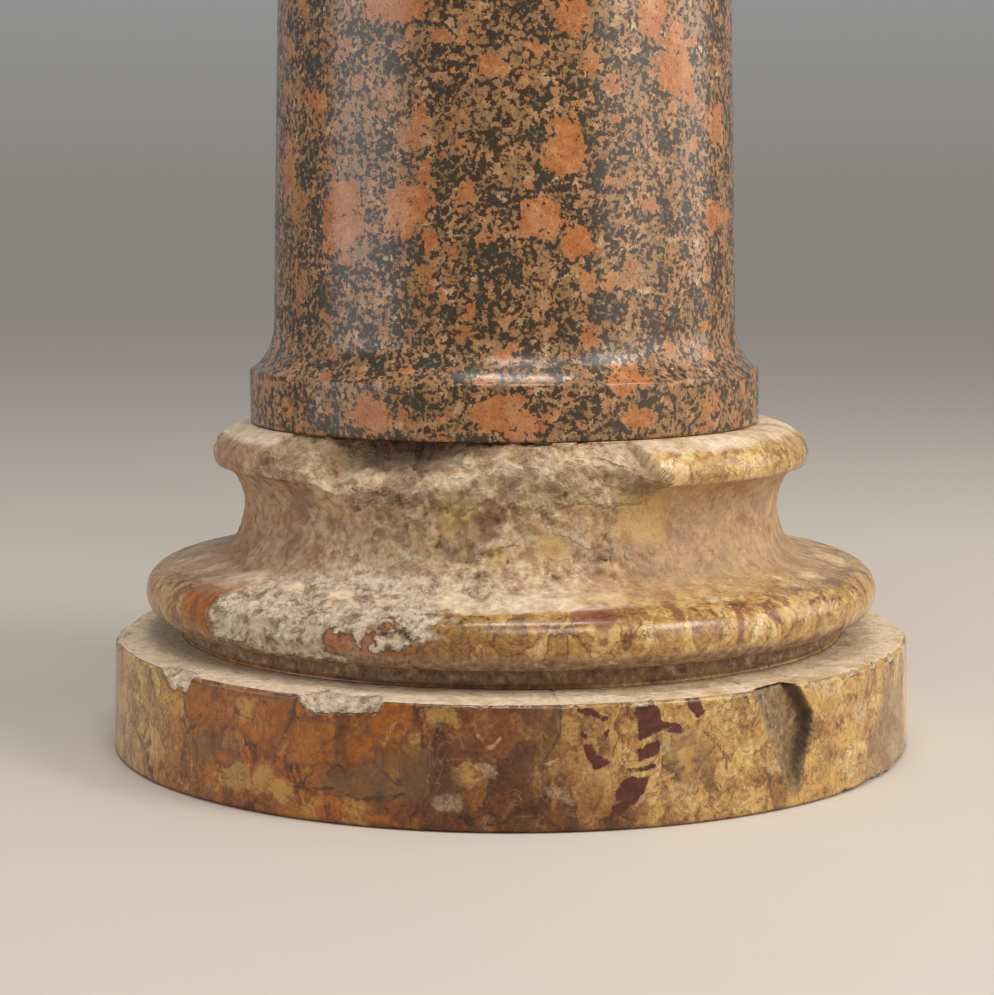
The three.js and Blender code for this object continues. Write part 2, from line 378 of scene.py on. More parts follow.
# The stones, patches and veins seen on the front, as outlines of (degrees from the front, millimetres up).
red_stones = [
    ((15.5, 58.5), (18.6, 59), (19.7, 48.4), (18.8, 45.5), (16.2, 41.7), (15.8, 52)),
    ((18.8, 51.3), (21.4, 49.5), (22.1, 43.9), (20.6, 44.1), (19.2, 45.8)),
    ((15.9, 37.6), (18.5, 42.1), (18.9, 35.2), (15.9, 31.5)),
    ((14.5, 28.9), (18.2, 31.2), (18.2, 28.3), (14.3, 26.7)),
    ((14.2, 24.4), (17.5, 25.2), (17, 18.3), (15.2, 11.6), (12.9, 14.1), (13.3, 21.1)),
    ((13, 12.6), (14.4, 11), (13.7, 6.9), (12.5, 9.1)),
    ((8.7, 43), (9.9, 42.2), (10.9, 35), (12.4, 32.8), (11.8, 30.4), (10.2, 29), (9.2, 36.6)),
    ((7.6, 59.7), (9.9, 58.8), (12.1, 53.6), (11.7, 50.9), (10.2, 54.3), (8.2, 56.5)),
    ((22.4, 59.9), (24.3, 59.9), (25.1, 53.2), (24.1, 50.7), (23, 54.9)),
    ((8.7, 48.1), (9.6, 47.4), (9.4, 44), (8.7, 44.6)),
    ((11.4, 48.4), (12.1, 48.3), (12, 44.8), (11.5, 45.6)),
]
maroon_stones = [
    (
        (-9.2, 41.6), (-7.9, 44.4), (-4.9, 42.1), (-4.1, 34.8), (-6.4, 35.8), (-8.2, 32.2),
        (-9.8, 24.3), (-9.9, 35.5),
    ),
    ((-8.6, 27.4), (-6.4, 30.1), (-5.8, 20.6), (-7.3, 14.5), (-8.9, 17.9)),
    ((-11.7, 15), (-9.5, 20.1), (-9.2, 13), (-11.1, 9.1)),
    ((0.7, 39.7), (2.3, 37.2), (2, 25.7), (0.4, 28.3)),
    ((4.9, 59.3), (6.2, 59.8), (5.7, 49.7), (5.1, 51)),
    ((-22.3, 48), (-20.9, 47.2), (-21.3, 31.5), (-22.3, 32.4)),
]
orange_stones = [
    ((-48.2, 59), (-41.7, 59.1), (-42.7, 43.6), (-44.3, 36.5), (-47.8, 40.6)),
    ((-41.4, 58), (-37.5, 57.8), (-38, 44.3), (-41.1, 34.4), (-43.3, 39.6)),
    ((-36.9, 57.6), (-28.3, 57.9), (-29.1, 45.5), (-31.7, 27.3), (-35.3, 35.3), (-37.5, 40.9)),
    ((-28.2, 49.2), (-22.1, 49), (-22.3, 28.8), (-29.7, 25.7), (-28.9, 38.3)),
    ((-21.2, 46.9), (-17.1, 44.7), (-16.8, 31.1), (-20.9, 29.2)),
    ((-18.4, 50.4), (-15.4, 61.8), (-12.1, 59.8), (-11.9, 50.6), (-14.2, 38.3), (-16.4, 38.9)),
    ((-18.5, 7.2), (-14.6, 7.1), (-14.9, 2.2), (-18.2, 1.9)),
    ((-41.8, 28), (-38.3, 27.5), (-38.4, 21.3), (-41.2, 20.3)),
]
yellow_stones = [
    ((-54.1, 46.8), (-48.8, 48.9), (-48.3, 40.4), (-52.1, 37.9)),
    ((-42.2, 16.5), (-35.3, 23), (-35, 10.8), (-41.2, 7.1)),
    ((-31.3, 14), (-28.2, 18.5), (-28, 10.7), (-30.2, 6.2)),
    ((-34.5, 20.9), (-32.1, 23.4), (-31.7, 12.6), (-34.1, 11.3)),
    ((-37.3, 52.7), (-34.8, 55.1), (-34.8, 44.1), (-37, 41.2)),
    ((6.3, 52), (8.1, 52.3), (8.6, 43.1), (6.6, 44.3)),
    ((40.8, 57.5), (47.2, 57.5), (48, 47.5), (46.4, 39), (41.7, 46.8)),
    ((41.3, 24.6), (42.9, 27), (46.6, 15.8), (47, 5.4), (41.9, 6.4)),
    ((47.4, 32.3), (51.9, 31.7), (52.4, 22.6), (49, 23.5)),
    ((30.6, 11.8), (33.8, 11.5), (34.1, 0.7), (31.5, 6.1)),
    ((38.4, 8.6), (41.5, 5.6), (39.4, -0.5), (38, 3.1)),
    ((20.3, 38), (23.2, 39.6), (24, 26.4), (21.1, 24.8)),
    ((29.1, 29.5), (32.8, 29.1), (32.9, 19.9), (29.5, 22.8)),
    ((-11.3, 58.4), (-6.4, 60.6), (-6.7, 52.6), (-10.7, 50.3)),
    ((-7, 31.2), (-5.2, 33.8), (-4, 25.5), (-6.4, 22.9)),
]
pale_stones = [
    ((3.6, 22.4), (6.3, 20), (8.3, 14.9), (6.6, 12.3), (4.6, 16.3)),
    ((19.5, 20.1), (22.2, 20.5), (23.2, 15), (22.6, 11), (20.4, 15.7)),
    ((42.8, 3.5), (48.4, 0.7), (47.3, -1), (43.1, -1), (39.2, -0.2)),
    ((34, 22), (36.9, 25.7), (37.5, 18.7), (34.7, 18.7)),
    ((51.8, 42.4), (56, 41.8), (55.7, 35.8), (52.6, 35.1)),
    ((-9.5, 13), (-6.4, 15.8), (-5.8, 11.1), (-8.9, 9.3)),
    ((42.1, 58.9), (46, 57.5), (48.8, 51.1), (48.2, 48.8), (45.1, 54.6), (41.6, 55.1)),
    ((-4, 31.5), (-1.5, 32.8), (-1.5, 25.7), (-3.3, 25.6)),
]
dull_stones = [
    ((-42, 31.6), (-37.8, 42.6), (-36.6, 32.2), (-37.9, 21.5), (-41.5, 24.2)),
    ((-46.2, 32.6), (-42.4, 36.3), (-42.5, 18.8), (-46.9, 23.5)),
    ((-19.1, 33.4), (-10.1, 40), (-10, 15.3), (-14.2, 12), (-20.5, 12.5)),
    ((56.7, 18.4), (61.9, 47.6), (71.2, 40.9), (76.6, -1), (60.7, -1), (53.3, -1)),
    ((18.5, 41.1), (23.2, 46.1), (25.9, 38.7), (26.3, 20.2), (23.3, 18.8), (19.6, 25.3)),
    ((-23.9, 25.8), (-19.1, 27.4), (-20.5, 12.5), (-24.6, 15.8)),
    ((44.5, 25.3), (47.4, 24.8), (48.1, 18.9), (45.1, 19.5)),
]
torus_orange = [
    ((-58.3, 97.7), (-49.9, 103.1), (-50.7, 94.5), (-48.7, 84.4), (-49.5, 75.6), (-56.4, 79.4)),
    ((-28.2, 86.6), (-25.7, 88.3), (-25.8, 78.1), (-27.8, 77.5)),
    ((-25.1, 87.5), (-22.8, 90.4), (-22.9, 78.9), (-25.1, 78.3)),
    ((-22.9, 78.9), (-18.9, 77.5), (-19.3, 74), (-22.9, 74.3)),
]
torus_hook = [
    (
        (-21.2, 89.4), (-18.2, 95.1), (-15.8, 94.7), (-14.8, 91.5), (-18.2, 88.9), (-19.9, 81.9),
        (-18.9, 79.3), (-14.6, 82.0), (-13.8, 80.8), (-14.2, 75.9), (-19.1, 74.3), (-21.1, 76.1),
    ),
]
torus_remains = [
    ((-27.4, 83.1), (-25.8, 87.0), (-23.2, 86.1), (-21.6, 81.3), (-21.2, 73.8), (-27.6, 73.3)),
    ((-19.7, 87.8), (-18.5, 89.9), (-18.2, 83.7), (-19.1, 80.1), (-19.9, 83.4)),
]
ochre_patches = [
    ((5.2, 131.7), (8.8, 133.2), (11.4, 127.3), (10.4, 117.8), (4.3, 119.5)),
    ((-4.2, 126.3), (0.1, 123.6), (-1.2, 117.5), (-4.7, 118.1)),
    ((20.8, 149.5), (30.4, 155), (31.8, 123.1), (20.5, 126.4)),
    ((-14.5, 146), (-6.1, 146.2), (-6.1, 131.6), (-13.2, 129.8)),
]
# Dark reddish-brown patches in the recesses of the break: the stone's colour together with painted shade.
umber_and_shade_patches = [
    ((-25.6, 157), (-18.4, 159.2), (-19.5, 145.5), (-23.8, 139.2), (-25.6, 146.1)),
    ((-10.1, 137.5), (-2.2, 140.9), (-3.1, 127.7), (-8.1, 123.4)),
    ((-49, 152.7), (-40.8, 150.3), (-45.5, 133.8), (-50, 129.8)),
    ((21.3, 156.2), (28.5, 158.7), (28.5, 154.6), (21.3, 150.8)),
    ((-2.2, 157.4), (1.8, 158.7), (1.3, 145.3), (-1.7, 146.6)),
]
pale_veins = [
    ((16.2, 40.4), (18.1, 43.5), (20.3, 48.5)),
    ((18.8, 45.1), (22.5, 43.5)),
    ((14.3, 26), (17.1, 27), (18.9, 29.4)),
    ((15.9, 30.8), (18.5, 33.3)),
    ((15.4, 9.9), (17.1, 18.2), (18.9, 23.2), (20.7, 24.9)),
    ((15.5, 7.1), (15.3, -0)),
    ((26.4, 9.8), (26.2, -0.6)),
    ((21.9, 6.3), (21.7, -0.4)),
    ((28.2, 43.6), (30.3, 31.6), (34.6, 22.9), (37.4, 25.5)),
    ((57.5, 60.9), (57.1, 41.7), (52.9, 23.9), (49.5, 0.1)),
    ((59.9, 59.4), (59.5, 39.8), (55.2, 23.7), (51.4, -0.6)),
    ((27.4, 55), (28.2, 44.3), (29.4, 47.7), (32.8, 48.9)),
    ((34, 61.4), (34.5, 45.4), (36.9, 28.4)),
    ((8.6, 49.4), (10.2, 45.4), (11.9, 48.9)),
    ((4, 33.3), (6.6, 34.3), (8.2, 27.7)),
    ((-62.7, 39.6), (-61.9, 24.5), (-58.3, 16.8), (-55.3, 2.2)),
    ((-58.7, 54.1), (-60.7, 37.1), (-56.6, 21.9), (-57.6, 5.6)),
    ((-54.4, 15.8), (-50.4, 8.4), (-46.9, 3.3)),
    ((-46.3, 17.6), (-45.8, 9.1), (-48.1, 2.4)),
    ((-15.8, 39.1), (-14.8, 48.9), (-13.2, 55.1)),
    ((-4, 46.9), (-2.4, 39.9), (-1.3, 44.6)),
    ((-3.6, 33.9), (-1.5, 28)),
]
dark_cracks = [
    ((24.8, 44.2), (26.8, 36.8), (28, 30), (28.3, 21.4)),
    ((34, 60.1), (34.6, 50.4), (35.9, 39.5)),
    ((6.2, 59.8), (6.1, 47.1), (4.6, 37.1), (3.6, 28.2)),
    ((-12.1, 59.8), (-11.3, 53.1), (-10.7, 49.4), (-9.5, 47.2)),
    ((-48.2, 49.2), (-47.8, 40.6), (-46.4, 35.2), (-46.1, 30.4)),
    ((-28.3, 15.5), (-22.5, 16.6), (-19.1, 13), (-13.3, 16.8)),
    ((-19.1, 13), (-15.8, 12.8), (-13, 17.1)),
    ((-17.9, 89), (-15.1, 90.6), (-13.7, 86.5), (-13.6, 83.1)),
    ((-15.1, 82.9), (-14.1, 76.2), (-13.5, 71.7)),
]
# Ridge crests along the breaks, painted paler as a highlight where the light catches them.
highlit_crest_lines = [
    (
        (-40.2, 147.8), (-34.7, 160.6), (-28, 158.2), (-23.5, 160.9), (-19.2, 164.7), (-15, 167.8),
        (-8.5, 164.1), (-1.2, 171), (5.2, 175.3),
    ),
    ((-17.1, 159.5), (-13, 156.9), (-8, 160.1), (-2.1, 164.3), (1.8, 162.3), (7.6, 158.6)),
    ((-3.1, 126.6), (2.3, 125.9), (7.7, 135.9), (11.7, 130.3), (15.2, 125.9)),
    ((-16.1, 125.7), (-13, 127.4), (-8, 122.3), (-4.1, 125.2)),
    ((8.1, 174.9), (9.4, 166.8), (13.1, 168), (17.7, 162.2), (21.4, 164.6)),
    ((-24.7, 145.1), (-19.2, 139), (-16.1, 136.6), (-16.6, 131.1)),
    ((18.8, 151.3), (19.4, 139), (18.6, 125.5)),
]
torus_bands = [
    ((8.5, 99), (15.5, 101), (15, 96), (13, 89), (11.5, 93), (8.8, 94)),
    ((23.5, 99.5), (25.5, 99.5), (25.2, 93.5), (23.6, 94)),
    ((18.7, 91.2), (21.9, 87.6), (21.4, 85.9), (18.6, 89.8)),
    ((11.6, 88.9), (13.3, 88.7), (13.2, 83.5), (11.8, 83.6)),
    ((34, 101), (35.3, 100.8), (34.6, 91), (34.2, 81), (33.3, 81.2), (33.6, 91)),
    ((-9.8, 100.4), (-8.1, 100.3), (-8.2, 96.6), (-9.7, 96.8)),
    ((71.6, 134), (72.6, 134), (72.2, 116), (71.5, 116)),
    ((43, 99), (45.6, 98.6), (45.2, 93), (43.4, 94.2)),
    ((52, 90), (54.4, 88), (53.8, 84), (51.6, 85.8)),
]


def edge_distance(points, corners, closed):
    """How far each point lies from an outline, in metres, and below 0 inside a closed one."""
    nearest = np.full(len(points), 1.0)
    inside = np.zeros(len(points), bool)
    for index in range(len(corners) if closed else len(corners) - 1):
        start = corners[index]
        run = corners[(index + 1) % len(corners)] - start
        offset = points - start
        share = np.clip(offset @ run / (run @ run), 0.0, 1.0)
        nearest = np.minimum(nearest, np.linalg.norm(offset - share[:, None] * run, axis=1))
        if closed and run[1]:
            share = offset[:, 1] / run[1]
            inside ^= (share >= 0) & (share < 1) & (offset[:, 0] < share * run[0])
    return np.where(inside, -nearest, nearest)


def mark_stones(body, radius, axis_x, wander, groups):
    """Stores on a body's points, for each named group, the distance from the nearest of its outlines."""
    places = np.empty(len(body.data.vertices) * 3)
    body.data.vertices.foreach_get("co", places)
    places = places.reshape(-1, 3)
    pushes = np.array([noise.noise_vector(Vector(place) * 150)[:2] for place in places])
    around = np.arctan2(places[:, 0] - axis_x, -places[:, 1]) * radius
    points = np.stack([around, places[:, 2]], axis=1) + wander * pushes
    for name, outlines, closed in groups:
        nearest = np.full(len(points), 0.02)
        for outline in outlines:
            corners = np.array([(math.radians(turn) * radius, height / 1000) for turn, height in outline])
            near = np.all((points > corners.min(0) - 0.02) & (points < corners.max(0) + 0.02), axis=1)
            nearest[near] = np.minimum(nearest[near], edge_distance(points[near], corners, closed))
        body.data.attributes.new(name, "FLOAT", "POINT").data.foreach_set("value", nearest)


mark_stones(
    base,
    plinth_radius,
    0.0,
    0.0009,
    [
        ("red", red_stones, True),
        ("maroon", maroon_stones, True),
        ("orange", orange_stones + torus_orange + torus_hook, True),
        ("remains", torus_hook + torus_remains, True),
        ("yellow", yellow_stones, True),
        ("pale", pale_stones, True),
        ("dull", dull_stones, True),
        ("ochre", ochre_patches, True),
        ("umber_and_recess_shade", umber_and_shade_patches, True),
        ("banded", torus_bands, True),
        ("veined", pale_veins, False),
        ("cracked", dark_cracks, False),
        ("crests", highlit_crest_lines, False),
    ],
)


def add(tree, kind, inputs=None, **settings):
    """Adds a node to a tree, sets it up, and feeds its inputs with values or with other nodes' outputs."""
    node = tree.nodes.new(kind)
    for key, value in settings.items():
        setattr(node, key, value)
    for key, value in (inputs or {}).items():
        if isinstance(value, bpy.types.NodeSocket):
            tree.links.new(value, node.inputs[key])
        else:
            node.inputs[key].default_value = value
    return node


def maths(tree, operation, *values):
    return add(tree, "ShaderNodeMath", dict(enumerate(values)), operation=operation).outputs[0]


def vectors(tree, operation, first, second):
    return add(tree, "ShaderNodeVectorMath", {0: first, 1: second}, operation=operation).outputs[0]


def step(tree, value, low, high, start=0.0, end=1.0):
    """A smooth step from start to end while value goes from low to high."""
    inputs = {"Value": value, "From Min": low, "From Max": high, "To Min": start, "To Max": end}
    return add(tree, "ShaderNodeMapRange", inputs, interpolation_type="SMOOTHSTEP").outputs[0]


def cloud(tree, place, scale, detail=3.0, roughness=0.55, distortion=0.0):
    inputs = {"Vector": place, "Scale": scale, "Detail": detail}
    inputs.update({"Roughness": roughness, "Distortion": distortion})
    return add(tree, "ShaderNodeTexNoise", inputs)


def mix(tree, mask, first, second, blend="MIX"):
    node = add(tree, "ShaderNodeMix", {0: mask}, data_type="RGBA", blend_type=blend)
    for socket, value in ((node.inputs[6], first), (node.inputs[7], second)):
        if isinstance(value, bpy.types.NodeSocket):
            tree.links.new(value, socket)
        else:
            socket.default_value = (*value, 1.0)
    return node.outputs[2]


def palette(tree, value, stops):
    """A colour ramp from (position, colour) stops."""
    ramp = add(tree, "ShaderNodeValToRGB", {0: value})
    while len(ramp.color_ramp.elements) < len(stops):
        ramp.color_ramp.elements.new(0.5)
    for element, (position, colour) in zip(ramp.color_ramp.elements, stops):
        element.position = position
        element.color = (*colour, 1.0)
    return ramp.outputs[0]


def new_group(name, inputs, outputs):
    """An empty shader node group with the named inputs and outputs, and its two end nodes."""
    group = bpy.data.node_groups.new(name, "ShaderNodeTree")
    for socket, kind, value in inputs:
        entry = group.interface.new_socket(socket, in_out="INPUT", socket_type=kind)
        if value is not None:
            entry.default_value = value
    for socket, kind in outputs:
        group.interface.new_socket(socket, in_out="OUTPUT", socket_type=kind)
    return group, group.nodes.new("NodeGroupInput").outputs, group.nodes.new("NodeGroupOutput").inputs


def warped_place_group():
    """Pushes a place about by a noise, by about Amount metres each way."""
    group, given, result = new_group(
        "Warped place",
        [
            ("Place", "NodeSocketVector", None),
            ("Scale", "NodeSocketFloat", 100.0),
            ("Amount", "NodeSocketFloat", 0.002),
        ],
        [("Place", "NodeSocketVector")],
    )
    push = cloud(group, given["Place"], given["Scale"], 3.0).outputs["Color"]
    centred = vectors(group, "SUBTRACT", push, (0.5, 0.5, 0.5))
    reach_each_way = maths(group, "MULTIPLY", given["Amount"], 2.0)
    scaled = add(group, "ShaderNodeVectorMath", {0: centred, "Scale": reach_each_way}, operation="SCALE")
    group.links.new(vectors(group, "ADD", given["Place"], scaled.outputs[0]), result["Place"])
    return group


def ragged_edge_group():
    """Turns the distance from a stone's outline into a mask of the stone, and one of its rim, both ragged."""
    group, given, result = new_group(
        "Ragged edge",
        [
            ("Distance", "NodeSocketFloat", 0.01),
            ("Grit", "NodeSocketFloat", 0.0),
            ("Softness", "NodeSocketFloat", 0.0005),
        ],
        [("Mask", "NodeSocketFloat"), ("Rim", "NodeSocketFloat")],
    )
    edge = maths(group, "ADD", given["Distance"], given["Grit"])
    inner = maths(group, "MULTIPLY", given["Softness"], -1.0)
    group.links.new(step(group, edge, inner, given["Softness"], 1.0, 0.0), result["Mask"])
    width = maths(group, "ADD", given["Softness"], 0.0008)
    group.links.new(step(group, maths(group, "ABSOLUTE", edge), 0.0, width, 1.0, 0.0), result["Rim"])
    return group


warped_place = warped_place_group()
ragged_edge = ragged_edge_group()


def warped(tree, place, scale, amount):
    inputs = {"Place": place, "Scale": scale, "Amount": amount}
    return add(tree, "ShaderNodeGroup", inputs, node_tree=warped_place).outputs["Place"]


def attribute(tree, name):
    return add(tree, "ShaderNodeAttribute", attribute_name=name).outputs["Fac"]


def stones(tree, name, grit, softness):
    """The mask and the rim of one group of marked stones."""
    inputs = {"Distance": attribute(tree, name), "Grit": grit, "Softness": softness}
    node = add(tree, "ShaderNodeGroup", inputs, node_tree=ragged_edge)
    return node.outputs["Mask"], node.outputs["Rim"]


def overlay(tree, mask, strength, below, above):
    return mix(tree, maths(tree, "MULTIPLY", mask, strength), below, above)


def threads(tree, place, scale, width, distortion=0.8):
    """Thin wandering lines, where a noise crosses its middle value."""
    value = cloud(tree, place, scale, 5.0, 0.55, distortion).outputs[0]
    gap = maths(tree, "ABSOLUTE", maths(tree, "SUBTRACT", value, 0.5))
    return step(tree, gap, 0.0, width, 1.0, 0.0)


left_stops = [
    (0.10, (0.067, 0.019, 0.005)),
    (0.30, (0.169, 0.048, 0.007)),
    (0.45, (0.287, 0.084, 0.009)),
    (0.58, (0.355, 0.110, 0.012)),
    (0.72, (0.397, 0.165, 0.022)),
    (0.90, (0.473, 0.254, 0.061)),
]
middle_stops = [
    (0.10, (0.042, 0.012, 0.003)),
    (0.32, (0.091, 0.025, 0.004)),
    (0.48, (0.143, 0.040, 0.006)),
    (0.62, (0.194, 0.062, 0.010)),
    (0.78, (0.267, 0.109, 0.020)),
    (0.95, (0.387, 0.212, 0.067)),
]
right_stops = [
    (0.05, (0.140, 0.054, 0.019)),
    (0.25, (0.288, 0.140, 0.042)),
    (0.42, (0.419, 0.225, 0.068)),
    (0.58, (0.521, 0.310, 0.092)),
    (0.75, (0.595, 0.401, 0.158)),
    (0.92, (0.688, 0.540, 0.334)),
]


def breccia_colour(tree, place, patches):
    """The colour of the sound marble: stones and fragments, browner and redder from right to left."""
    tall = add(tree, "ShaderNodeMapping", {"Vector": place, "Scale": (1.0, 1.0, 0.68)}).outputs[0]
    pushed = warped(tree, tall, 62.0, 0.0095)
    big = add(tree, "ShaderNodeTexVoronoi", {"Vector": pushed, "Scale": 56.0})
    small = add(tree, "ShaderNodeTexVoronoi", {"Vector": pushed, "Scale": 150.0})
    big_value = add(tree, "ShaderNodeSeparateColor", {0: big.outputs["Color"]}).outputs[0]
    small_value = add(tree, "ShaderNodeSeparateColor", {0: small.outputs["Color"]}).outputs[1]
    crumbled = step(tree, cloud(tree, place, 26.0, 2.0).outputs[0], 0.40, 0.58, 0.15, 0.8)
    cells = add(tree, "ShaderNodeMix", {0: crumbled, 2: big_value, 3: small_value}).outputs[0]
    clouds = cloud(tree, tall, 80.0, 5.0, 0.68, 0.5).outputs[0]
    grit = cloud(tree, place, 480.0, 4.0, 0.65).outputs[0]
    shade = maths(tree, "MULTIPLY_ADD", cells, 0.52, maths(tree, "MULTIPLY_ADD", clouds, 1.0, -0.27))
    shade = maths(tree, "MULTIPLY_ADD", maths(tree, "SUBTRACT", grit, 0.5), 0.95, shade)
    rims = add(tree, "ShaderNodeTexVoronoi", {"Vector": pushed, "Scale": 56.0}, feature="DISTANCE_TO_EDGE")
    rim = step(tree, rims.outputs[0], 0.0, 0.07, 0.30, 0.0)
    shade = maths(tree, "SUBTRACT", shade, maths(tree, "MULTIPLY", rim, step(tree, patches, 0.44, 0.60)))
    across = add(tree, "ShaderNodeSeparateXYZ", {0: place}).outputs["X"]
    drift = maths(tree, "SUBTRACT", cloud(tree, place, 14.0, 5.0, 0.6).outputs[0], 0.5)
    across = maths(tree, "MULTIPLY_ADD", drift, 0.15, across)
    right_colour = palette(tree, shade, right_stops)
    colour = palette(tree, shade, left_stops)
    colour = mix(tree, step(tree, across, -0.200, -0.150, 1.0, 0.0), colour, right_colour)
    colour = mix(tree, step(tree, across, -0.085, -0.045), colour, palette(tree, shade, middle_stops))
    up = add(tree, "ShaderNodeSeparateXYZ", {0: place}).outputs["Z"]
    above_plinth = step(tree, up, 0.060, 0.074, 0.0, 0.8)
    on_torus = maths(tree, "MULTIPLY", above_plinth, step(tree, across, -0.075, -0.035))
    colour = mix(tree, on_torus, colour, right_colour)
    return mix(tree, step(tree, across, 0.015, 0.085), colour, right_colour)


def marble_material():
    material = bpy.data.materials.new("breccia_marble")
    material.use_nodes = True
    tree = material.node_tree
    shader = tree.nodes["Principled BSDF"]
    place = add(tree, "ShaderNodeTexCoord").outputs["Object"]
    parts = add(tree, "ShaderNodeSeparateXYZ", {0: place}).outputs
    patches = cloud(tree, place, 48.0, 4.0, 0.6).outputs[0]
    crumbs = cloud(tree, place, 230.0, 5.0, 0.68).outputs[0]
    grit = maths(tree, "MULTIPLY", maths(tree, "SUBTRACT", crumbs, 0.5), 0.005)
    coarse_grit = maths(tree, "MULTIPLY_ADD", maths(tree, "SUBTRACT", patches, 0.5), 0.009, grit)
    worn_grit = maths(tree, "MULTIPLY", coarse_grit, 2.2)

    sound = breccia_colour(tree, place, patches)
    sound = overlay(tree, stones(tree, "dull", coarse_grit, 0.0040)[0], 0.5, sound, (0.170, 0.100, 0.046))
    orange_tones = [
        (0.34, (0.204, 0.052, 0.004)),
        (0.50, (0.351, 0.099, 0.006)),
        (0.66, (0.465, 0.168, 0.014)),
    ]
    orange_tone = palette(tree, crumbs, orange_tones)
    orange, orange_rim = stones(tree, "orange", grit, 0.0012)
    sound = overlay(tree, orange, 0.72, sound, orange_tone)
    plinth_rim = maths(tree, "MULTIPLY", orange_rim, step(tree, parts["Z"], 0.062, 0.066, 1.0, 0.0))
    sound = overlay(tree, plinth_rim, 0.45, sound, (0.100, 0.038, 0.020))
    sound = overlay(tree, stones(tree, "yellow", worn_grit, 0.0014)[0], 0.50, sound, (0.600, 0.360, 0.090))
    sound = overlay(tree, stones(tree, "maroon", coarse_grit, 0.0032)[0], 0.62, sound, (0.092, 0.027, 0.015))
    sound = overlay(tree, stones(tree, "banded", coarse_grit, 0.0010)[0], 0.78, sound, (0.190, 0.055, 0.032))
    pale = stones(tree, "pale", worn_grit, 0.0012)[0]
    pale = maths(tree, "MULTIPLY", pale, step(tree, crumbs, 0.34, 0.60, 0.35, 1.0))
    sound = overlay(tree, pale, 0.42, sound, (0.590, 0.470, 0.300))
    seams = maths(tree, "MULTIPLY", threads(tree, place, 44.0, 0.016), step(tree, patches, 0.44, 0.58))
    crackle = threads(tree, place, 120.0, 0.034, 1.2)
    crackle = maths(tree, "MULTIPLY", crackle, step(tree, patches, 0.62, 0.44, 0.2, 0.9))
    sound = overlay(tree, seams, 0.75, sound, (0.065, 0.028, 0.014))
    sound = overlay(tree, crackle, 0.85, sound, (0.130, 0.058, 0.024))
    veined = step(tree, cloud(tree, place, 19.0, 2.0).outputs[0], 0.50, 0.58)
    veins = maths(tree, "MULTIPLY", threads(tree, place, 36.0, 0.012, 0.6), veined)
    sound = overlay(tree, veins, 0.20, sound, (0.62, 0.44, 0.26))
    red = mix(tree, step(tree, crumbs, 0.40, 0.62), (0.070, 0.012, 0.006), (0.112, 0.024, 0.012))
    sound = mix(tree, stones(tree, "red", grit, 0.0004)[0], sound, red)
    vein_width = maths(tree, "ADD", attribute(tree, "veined"), grit)
    vein = step(tree, vein_width, 0.0, 0.0009, 1.0, 0.0)
    sound = overlay(tree, vein, 0.50, sound, (0.600, 0.400, 0.230))

    broken = attribute(tree, "broken")
    dust = attribute(tree, "dust")
    groove_grime_and_shade = attribute(tree, "groove_grime_and_shade")
    crust = attribute(tree, "crust")
    flaked = attribute(tree, "flaked")
    stone_tones = [
        (0.34, (0.364, 0.208, 0.110)),
        (0.43, (0.556, 0.364, 0.205)),
        (0.54, (0.728, 0.520, 0.320)),
        (0.66, (0.899, 0.718, 0.500)),
    ]
    stone = palette(tree, crumbs, stone_tones)
    stone = mix(tree, step(tree, patches, 0.44, 0.62, 0.05, 0.40), stone, sound)
    stain = cloud(tree, place, 85.0, 4.0, 0.65).outputs[0]
    stone = overlay(tree, step(tree, stain, 0.53, 0.64), 0.5, stone, (0.280, 0.135, 0.080))
    stone = overlay(tree, step(tree, stain, 0.47, 0.38), 0.35, stone, (0.560, 0.385, 0.180))
    low = step(tree, parts["Z"], 0.106, 0.124, 0.75, 0.0)
    chalk = mix(tree, step(tree, crumbs, 0.36, 0.62), (0.56, 0.420, 0.285), (0.95, 0.790, 0.585))
    pitted = step(tree, crumbs, 0.60, 0.42, 0.25, 1.0)
    stained = maths(tree, "MULTIPLY", step(tree, stain, 0.50, 0.60), pitted)
    chalk = overlay(tree, stained, 0.80, chalk, (0.250, 0.150, 0.092))
    chalk = overlay(tree, step(tree, crumbs, 0.43, 0.33), 0.45, chalk, (0.200, 0.125, 0.078))
    stone = mix(tree, low, stone, chalk)
    stone = overlay(tree, orange, 0.50, stone, orange_tone)
    powder_stops = [
        (0.30, (0.492, 0.349, 0.220)),
        (0.44, (0.728, 0.550, 0.373)),
        (0.66, (0.877, 0.714, 0.525)),
    ]
    powder = palette(tree, crumbs, powder_stops)
    powder = overlay(tree, step(tree, stain, 0.50, 0.62), 0.50, powder, (0.470, 0.325, 0.190))
    # Dark grey-brown grime with painted shade for the groove under the torus.
    groove_grime_shade_stops = [
        (0.35, (0.16, 0.088, 0.048)),
        (0.55, (0.36, 0.230, 0.135)),
        (0.70, (0.62, 0.480, 0.340)),
    ]
    groove_grime_shade_colour = palette(tree, crumbs, groove_grime_shade_stops)
    film_stops = [
        (0.34, (0.249, 0.123, 0.068)),
        (0.45, (0.580, 0.365, 0.203)),
        (0.64, (0.900, 0.741, 0.490)),
    ]
    film = palette(tree, crumbs, film_stops)
    soft_film_stops = [
        (0.35, (0.287, 0.166, 0.083)),
        (0.50, (0.421, 0.266, 0.143)),
        (0.65, (0.537, 0.370, 0.211)),
    ]
    soft_film = palette(tree, patches, soft_film_stops)
    film = mix(tree, step(tree, parts["X"], 0.02, 0.07, 0.25, 0.75), film, soft_film)
    film = overlay(tree, step(tree, stain, 0.52, 0.62), 0.62, film, (0.270, 0.130, 0.078))
